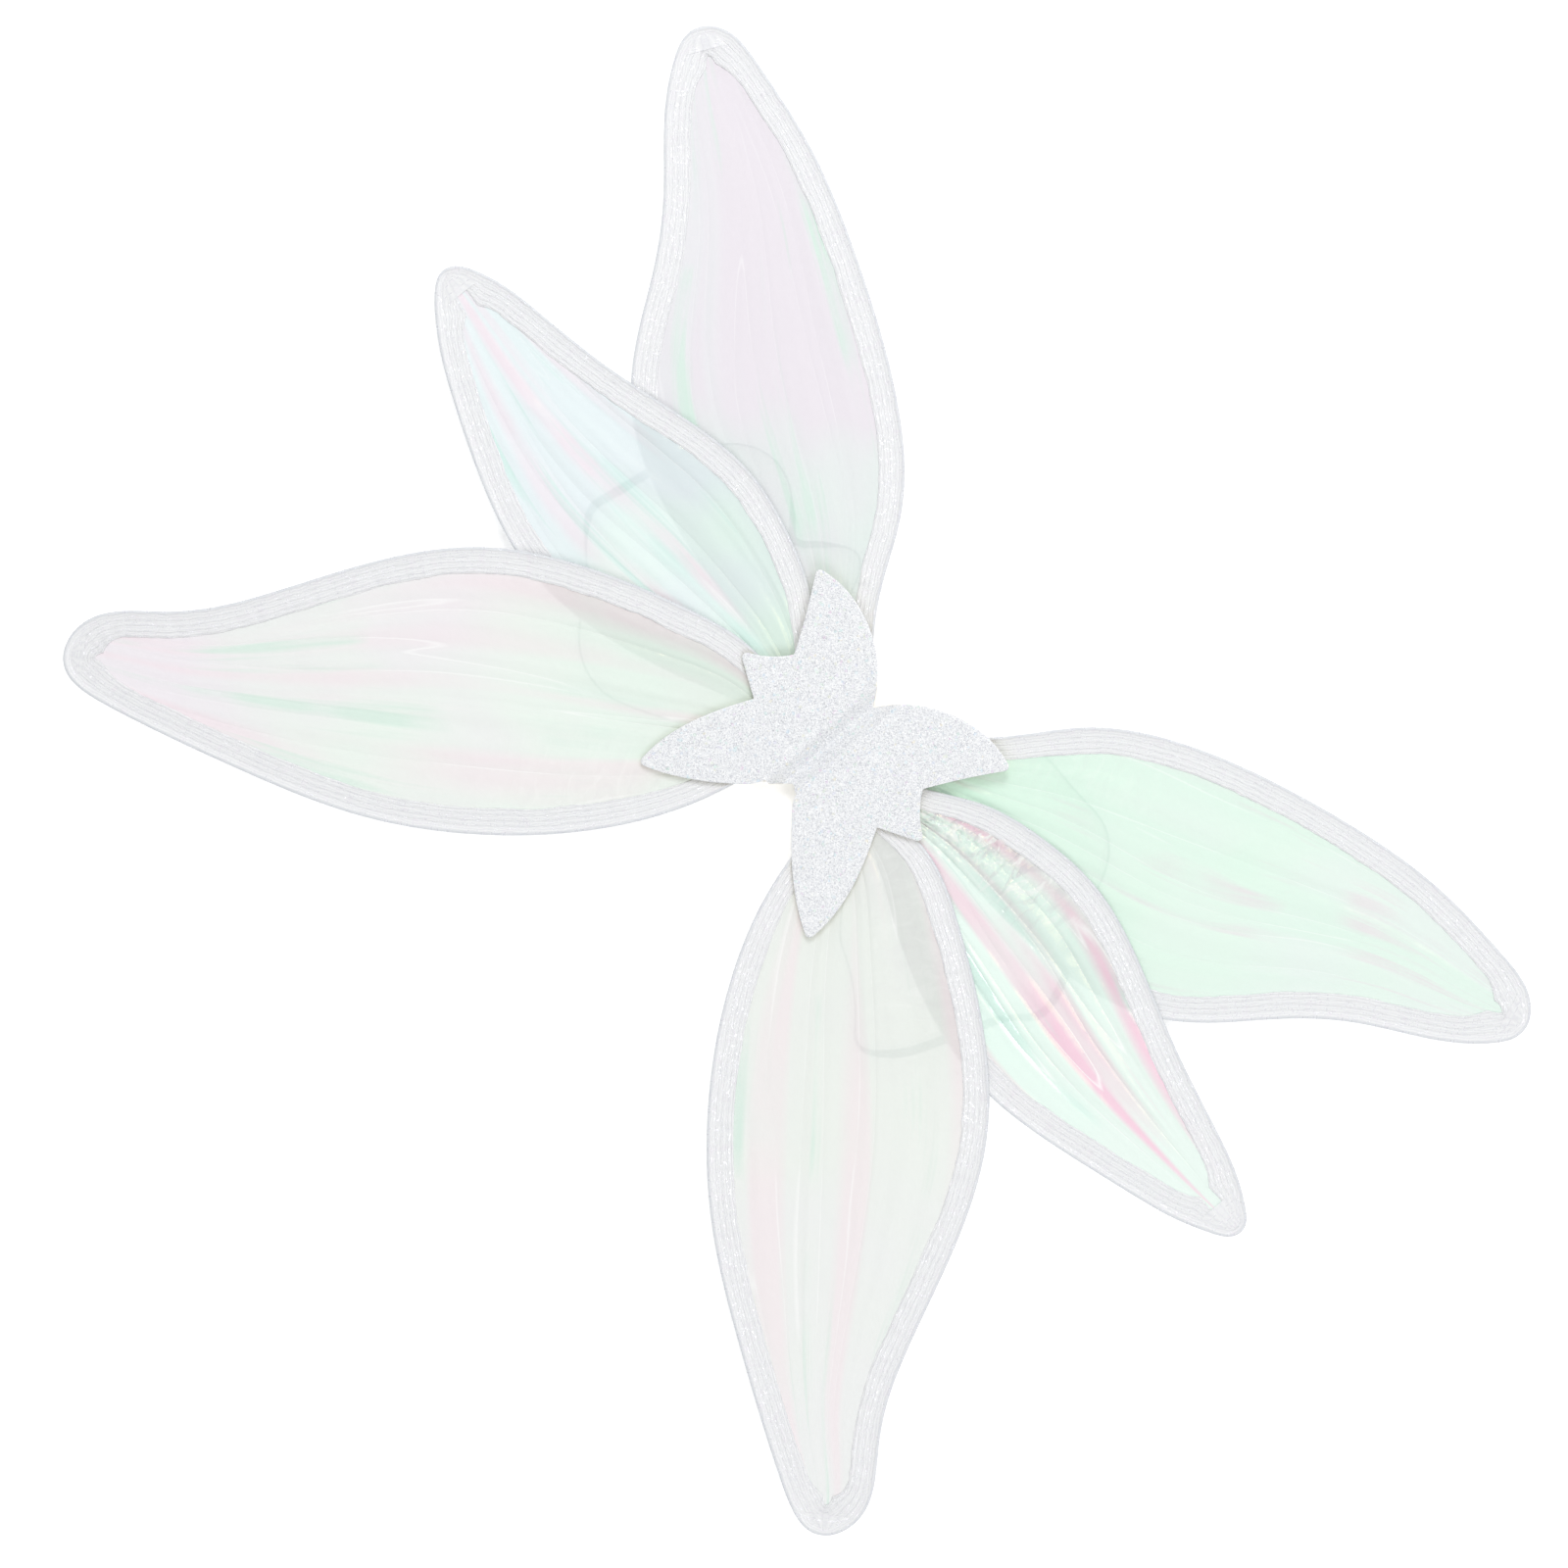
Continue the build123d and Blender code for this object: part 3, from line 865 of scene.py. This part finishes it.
def make_film(leaf):
    """The film: a fine sheet between the two sides of the wire, with folds that run its length."""
    edge = leaf.wire - leaf.out * FILM_TUCK * 0.8
    lead = resampled(edge[: leaf.tip + 1], FILM_EDGE_POINTS, closed=False)
    trail = resampled(np.vstack([edge[leaf.tip :], edge[:1]]), FILM_EDGE_POINTS, closed=False)[::-1]
    us = np.linspace(FILM_END, 1 - FILM_END, FILM_ROWS)
    vs = np.linspace(0, 1, FILM_COLUMNS)
    at = us * (FILM_EDGE_POINTS - 1)
    ids = np.arange(FILM_EDGE_POINTS)
    low = np.column_stack([np.interp(at, ids, lead[:, k]) for k in range(2)])[:, None, :]
    high = np.column_stack([np.interp(at, ids, trail[:, k]) for k in range(2)])[:, None, :]
    flat = (low * (1 - vs)[None, :, None] + high * vs[None, :, None]).reshape(-1, 2)
    u = np.repeat(us, FILM_COLUMNS)
    v = np.tile(vs, FILM_ROWS)
    gap, index = distance_to(flat, leaf.wire)
    crinkle, gathers = CRINKLE[(leaf.side, leaf.tier)]
    seed = leaf.seed * 7.7
    heights = np.zeros(len(flat))
    for k in range(len(flat)):
        uk, vk = u[k], v[k]
        x, y = flat[k] / MM
        wander = 0.25 * noise.noise((uk * 3.1, vk * 2.0, seed))
        folds = ridge(noise.noise((uk * 2.2, (vk + wander) * 5.0, seed + 1)))
        lines = ridge(noise.noise((uk * 3.5, (vk + wander) * 11.0, seed + 2)))
        creases = ridge(noise.noise((x / 34 + wander * 3, y / 34, seed + 3)))
        small = ridge(noise.noise((x / 11, y / 11 + wander * 4, seed + 4)))
        fan = noise.noise((uk * 1.6, vk * 26.0, seed + 5)) * (1 - ease(uk, 0.1, 0.4))
        heights[k] = 0.42 * folds + 0.14 * lines + 0.34 * creases + 0.16 * small + 0.4 * fan
    heights *= crinkle * (1 - 0.8 * ease(u, 0.65, 0.95))
    heights += GATHER_HEIGHT * gathers * hem_gathers(leaf, gap, index)
    # Under the ribbon the film follows the ribbon's puckers.
    inner = ease(gap, 11 * MM, 19 * MM)
    z = FOLD_HEIGHT * (heights - FOLD_LEVEL) * inner
    z = np.clip(z, FILM_LOWEST, FILM_HIGHEST)
    z = z + leaf.pucker(index, gap) * (1 - inner)
    verts = np.column_stack([flat, leaf.z + z])
    faces = grid_faces(FILM_ROWS, FILM_COLUMNS)
    if signed_area(flat[[0, FILM_COLUMNS, FILM_COLUMNS + 1, 1]]) < 0:
        faces = [tuple(reversed(f)) for f in faces]
    finish = FINISHES[(leaf.side, leaf.tier)]
    film = new_object(leaf.name + "_sheet", verts, faces, finish, uv=np.column_stack([u, v]))
    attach(film, leaf.body)
    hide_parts(leaf.name + "_film")
    along = leaf.wire[leaf.tip] - leaf.wire[0]
    along = along / np.linalg.norm(along)


# ---------------------------------------------------------------- foam, pads


def foam_top(x, y):
    """The front foam's upper side: crests over the wings and a rounded valley along the spine."""
    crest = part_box("right_front_foam")[1][2]
    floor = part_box("front_foam_spine")[1][2]
    return floor + (crest - floor) * ease(np.abs(x), VALLEY_FLAT, CREST)


def foam_bottom(x, y):
    """The front foam's underside, the foam's thickness below its upper side."""
    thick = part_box("right_front_foam")[1][2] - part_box("right_front_foam")[0][2]
    return foam_top(x, y) - thick


def foam_half_loop(side):
    """Half of the foam's edge, from the spine out round one side's lobes and back, and the cut at
    x = 0."""
    sign = SIDES[side]
    half = node_outline(side + "_front_foam") * (sign, 1)
    half = half if signed_area(half) > 0 else half[::-1]
    spine = node_outline("front_foam_spine") * (sign, 1)
    score = half[:, 0].min() + 0.02 * MM
    rim = np.flatnonzero(half[:, 0] < score)
    half = np.roll(half, -rim[half[rim, 1].argmin()], 0)
    rim = np.flatnonzero(half[:, 0] < score)
    lobes = half[: int(rim[half[rim, 1].argmax()]) + 1]

    def spine_edge(kept):
        points = spine[kept & (np.abs(spine[:, 0]) < SPINE_READ)]
        points = points[np.argsort(points[:, 0])]
        xs = np.linspace(0, SPINE_HALF, 7)
        return np.column_stack([xs, np.interp(xs, points[:, 0], points[:, 1])])

    low = spine_edge(spine[:, 1] < 0)
    high = spine_edge(spine[:, 1] > 0)
    outline = np.vstack([low, lobes, high[::-1]])
    outline = resampled(outline, int(len_open(outline) / FOAM_STEP), closed=False)
    cut_count = int((outline[-1][1] - outline[0][1]) / FOAM_STEP)
    cut = np.linspace(outline[-1], outline[0], cut_count)[1:-1]
    loop = np.vstack([outline, cut]) * (sign, 1)
    return loop if sign > 0 else loop[::-1]


def len_open(points):
    return float(np.linalg.norm(np.diff(points, axis=0), axis=1).sum())


def make_front_foam(side):
    """One side's half of the glitter foam, which bends across the score beside the spine."""
    loop = foam_half_loop(side)
    block = foam_block(loop, foam_top, foam_bottom, FOAM_ROUND, FOAM_SPACING, cut_x=0.0)
    random = np.random.default_rng(40 + SIDES[side])
    flakes = scatter_flakes(loop, random, FOAM_FLAKES)
    foam = joined(side + "_glitter_foam", [block, flakes], FINISHES["foam"])
    foam.data.materials.append(FINISHES["cut"])
    # The edge and the underside are bare foam. The flakes have six sides, and the cut where the two
    # halves meet doesn't show.
    for polygon in foam.data.polygons:
        bare = polygon.normal.z < BARE_BELOW and abs(polygon.center.x) > 0.1 * MM
        if bare and len(polygon.vertices) != 6:
            polygon.material_index = 1
    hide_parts(side + "_front_foam", *(["front_foam_spine"] if side == "left" else []))
    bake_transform(foam)


def scatter_flakes(loop, random, count):
    """Loose glitter on the foam: flat six-sided flakes at all tilts."""
    low, high = loop.min(0), loop.max(0)
    points = random.uniform(low, high, (count * 2, 2))
    points = points[inside(points, loop)]
    points = points[distance_to(points, loop)[0] > 1.0 * MM][:count]
    tops = foam_top(points[:, 0], points[:, 1])
    verts, faces = [], []
    for (x, y), z in zip(points, tops):
        size = random.uniform(0.2, 0.5) * MM
        tilt = Vector((random.normal(0, 0.35), random.normal(0, 0.35), 1)).normalized()
        faces.append(tuple(range(len(verts), len(verts) + 6)))
        verts += flake(Vector((x, y, z + 0.12 * MM)), size, tilt, random.uniform(0, pi))
    return verts, faces


def make_pad(node, body):
    """The plain foam on the wearer's side, with soft edges."""
    low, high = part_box(node)
    loop = node_outline(node)
    loop = resampled(loop, int(loop_length(loop) / PAD_STEP))

    def top(x, y):
        return np.full(len(x), high[2])

    def bottom(x, y):
        return np.full(len(x), low[2])

    block = foam_block(loop, top, bottom, PAD_ROUND, PAD_SPACING)
    pad = joined(node + "_soft", [block], FINISHES["pad"])
    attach(pad, body)
    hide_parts(node)


# ---------------------------------------------------------------- straps

# Each strap's route in metres, from where it leaves the pad beside the top of the foam to where it
# goes back in beside the lower lobe.
STRAP_ROUTES = {
    "right": [
        (0.060, 0.072), (0.072, 0.089), (0.092, 0.095), (0.120, 0.094), (0.148, 0.096), (0.167, 0.082),
        (0.177, 0.058), (0.190, 0.034), (0.206, 0.009), (0.212, -0.012), (0.199, -0.026),
        (0.190, -0.046), (0.181, -0.072), (0.172, -0.094), (0.152, -0.113), (0.134, -0.095),
        (0.112, -0.081), (0.091, -0.074), (0.077, -0.056),
    ],
    "left": [
        (-0.061, 0.067), (-0.068, 0.084), (-0.080, 0.090), (-0.095, 0.077), (-0.108, 0.061),
        (-0.121, 0.073), (-0.138, 0.086), (-0.160, 0.088), (-0.180, 0.075), (-0.193, 0.050),
        (-0.199, 0.024), (-0.203, 0.000), (-0.207, -0.018), (-0.193, -0.033), (-0.177, -0.045),
        (-0.163, -0.062), (-0.146, -0.080), (-0.122, -0.088), (-0.097, -0.080), (-0.070, -0.062),
    ],
}
# Where each strap turns over to lie broad: the middle and half length of the stretch, as shares of its
# length, and how far it turns in degrees.
STRAP_TURNS = {
    "right": [(0.47, 0.06, 58), (0.66, 0.10, 66)],
    "left": [(0.52, 0.09, 62), (0.16, 0.05, 40)],
}


def route_line(name, route, height):
    """Points along the smooth line of a route, read from its NURBS spline."""
    curve = bpy.data.curves.new(name, "CURVE")
    curve.dimensions = "3D"
    curve.resolution_u = 12
    spline = curve.splines.new("NURBS")
    spline.points.add(len(route) - 1)
    for point, (x, y) in zip(spline.points, route):
        point.co = (x, y, height, 1)
    spline.order_u = 3
    spline.use_endpoint_u = True
    holder = bpy.data.objects.new(name, curve)
    bpy.context.scene.collection.objects.link(holder)
    bpy.context.view_layer.update()
    line = bpy.data.meshes.new_from_object(holder)
    points = np.array([v.co for v in line.vertices])
    bpy.data.objects.remove(holder)
    return points


def make_strap(side):
    """A flat elastic that stands on its edge along its route, and lies over where it turns."""
    points = route_line(side + "_strap_route", STRAP_ROUTES[side], STRAP_WIDTH / 2)
    length = len_open(points)
    points = resampled(points, int(length / STRAP_STEP), closed=False)
    share = np.linspace(0, 1, len(points))
    angle = np.zeros(len(points))
    for middle, half, turn in STRAP_TURNS[side]:
        angle += radians(turn) * (1 - ease(np.abs(share - middle), half * 0.5, half * 1.6))
    half_wide, half_thick = STRAP_WIDTH / 2, STRAP_THICK / 2
    # The strap stays on the floor as it turns over.
    points[:, 2] = half_wide * np.cos(angle) + half_thick * np.abs(np.sin(angle))
    along = np.gradient(points, axis=0)
    along /= np.linalg.norm(along, axis=1, keepdims=True)
    level = np.column_stack([along[:, 1], -along[:, 0], np.zeros(len(points))])
    level /= np.linalg.norm(level, axis=1, keepdims=True)
    upright = np.array([0, 0, 1])
    verts, lays = [], []
    for point, flat, turn, part in zip(points, level, angle, share):
        wide = upright * cos(turn) + flat * sin(turn)
        thick = flat * cos(turn) - upright * sin(turn)
        for w, t in STRAP_SECTION:
            verts.append(tuple(point + wide * w * half_wide + thick * t * half_thick))
            lays.append((part * length / MM, (w + 1) * 3 + (0.2 if t > 0 else 0)))
    count = len(STRAP_SECTION)
    faces = grid_faces(len(points), count, wrap_columns=True)
    faces += end_caps(count, len(verts))
    strap = new_object(side + "_elastic_strap", verts, faces, FINISHES["elastic"], uv=lays)
    face_outward(strap)
    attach(strap, side + "_wing")
    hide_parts(side + "_strap")
    print("STRAP", side, round(length, 4))


def face_outward(obj):
    """Turns a closed mesh's faces outward."""
    mesh = bmesh.new()
    mesh.from_mesh(obj.data)
    bmesh.ops.recalc_face_normals(mesh, faces=mesh.faces)
    mesh.to_mesh(obj.data)
    mesh.free()


# ---------------------------------------------------------------- camera, light, floor

VIEW_CENTRE = Vector((0.0, -0.0383, 0.01))
VIEW_WIDTH = 0.96
VIEW_TURN = radians(49.25)
CAMERA_HEIGHT = 3.2
SENSOR = 36
WORLD_STRENGTH = 0.6
# Each lamp's name, place, size in metres and power in watts. They all point at the origin.
LAMPS = (
    ("key", (-1.3, 1.2, 1.9), 1.0, 25),
    ("fill", (1.6, -0.8, 1.8), 1.2, 14),
    ("top", (0.4, 1.5, 2.2), 0.8, 8),
)
FLOOR_HALF = 6.0
FLOOR_LEVEL = -0.0002


def make_camera():
    """Straight down, with the spine turned in the picture."""
    camera = bpy.data.cameras.new("camera")
    camera.sensor_width = SENSOR
    camera.lens = SENSOR * CAMERA_HEIGHT / VIEW_WIDTH
    camera.clip_start = 0.05
    holder = bpy.data.objects.new("camera", camera)
    holder.location = VIEW_CENTRE + Vector((0, 0, CAMERA_HEIGHT))
    holder.rotation_euler = (0, 0, VIEW_TURN)
    bpy.context.scene.collection.objects.link(holder)
    bpy.context.scene.camera = holder


def make_light():
    """A white world and three soft lamps."""
    world = bpy.data.worlds.new("studio")
    world.use_nodes = True
    background = world.node_tree.nodes["Background"]
    background.inputs["Color"].default_value = (1, 1, 1, 1)
    background.inputs["Strength"].default_value = WORLD_STRENGTH
    bpy.context.scene.world = world
    for name, place, size, power in LAMPS:
        lamp = bpy.data.lights.new(name, "AREA")
        lamp.size = size
        lamp.energy = power
        holder = bpy.data.objects.new(name, lamp)
        holder.location = place
        holder.rotation_euler = (-Vector(place)).to_track_quat("-Z", "Y").to_euler()
        bpy.context.scene.collection.objects.link(holder)
    bpy.context.scene.view_settings.view_transform = "Standard"


def make_floor():
    corners = [(-1, -1), (1, -1), (1, 1), (-1, 1)]
    verts = [(x * FLOOR_HALF, y * FLOOR_HALF, FLOOR_LEVEL) for x, y in corners]
    floor = new_object("floor", verts, [(0, 1, 2, 3)], FINISHES["floor"])


# ---------------------------------------------------------------- build

make_camera()
make_light()
make_floor()
for side in SIDES:
    make_strap(side)
seed = 0
for side in SIDES:
    for tier in TIERS:
        seed += 1
        leaf = Leaf(side, tier, seed)
        make_wire(leaf)
        make_ribbon(leaf)
        make_film(leaf)
    make_front_foam(side)
    make_pad(side + "_back_pad", side + "_wing")
    for node, finish in ((side + "_ferrules", "ferrule"), (side + "_glue_beads", "glue")):
        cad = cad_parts[node]
        cad.data.materials.clear()
        cad.data.materials.append(FINISHES[finish])
make_pad("back_pad_spine", "spine")
